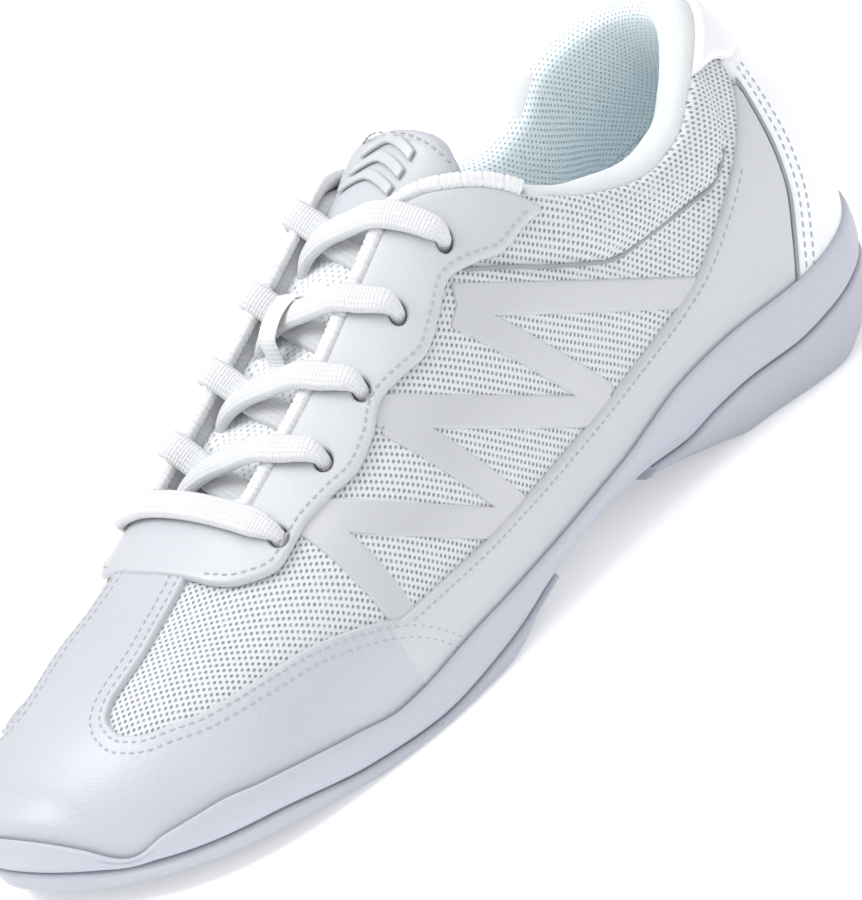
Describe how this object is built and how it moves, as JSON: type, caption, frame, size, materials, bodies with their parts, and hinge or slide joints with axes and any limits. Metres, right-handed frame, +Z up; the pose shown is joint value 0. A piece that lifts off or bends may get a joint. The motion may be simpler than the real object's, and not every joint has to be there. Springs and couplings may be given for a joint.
{
  "type": "cheer shoe",
  "caption": "Low-top lace-up cheer shoe, left foot: mesh upper with leather overlays, zigzag film, padded collar and tongue, wrapped two-part tread.",
  "frame": {"origin": "centre of the outer box, on the plane that the tread stands on", "axes": "+X from toe to heel, +Y to the medial (inner) side, +Z up"},
  "size_m": [0.2634, 0.0926, 0.101],
  "materials": {
    "sole": "matt moulded",
    "tread": "matt moulded",
    "board": "pressed fibre",
    "lining": "brushed knit",
    "leather": "smooth, slightly waxy",
    "film": "satin welded film",
    "mesh": "air mesh",
    "facing": "non-woven",
    "foam": "open-cell foam",
    "badge": "embossed",
    "webbing": "woven tape",
    "lace": "flat braid",
    "aglet": "clear wrap"
  },
  "bodies": {
    "root": {"midsole": "sole", "tread_forefoot": "tread", "tread_heel": "tread", "lasting_board": "board", "sock_liner": "lining", "toe_cap": "leather", "eyestay": "leather", "side_band_lateral": "leather", "side_band_medial": "leather", "heel_counter_cover": "leather", "heel_tab": "leather", "film_zigzag_lateral": "film", "film_zigzag_medial": "film", "vamp_mesh": "mesh", "quarter_mesh_lateral": "mesh", "quarter_mesh_medial": "mesh", "eyestay_facing": "facing", "toe_puff": "board", "heel_stiffener": "board", "vamp_and_quarter_lining": "lining", "collar_foam": "foam", "collar_lining": "lining", "collar_roll": "mesh", "tongue": "mesh", "tongue_loop": "webbing", "lace": "lace", "aglet_1": "aglet", "aglet_2": "aglet"},
    "tongue_end": {"tongue_top": "leather", "tongue_badge": "badge"}
  },
  "joints": [
    {"name": "tongue_fold", "type": "hinge", "parent": "root", "child": "tongue_end", "pos_m": [0.0198, 0.004, 0.0855], "axis": [0, -1, 0], "range_deg": [-5, 55], "stiffness_Nm_per_rad": 0.03}
  ]
}
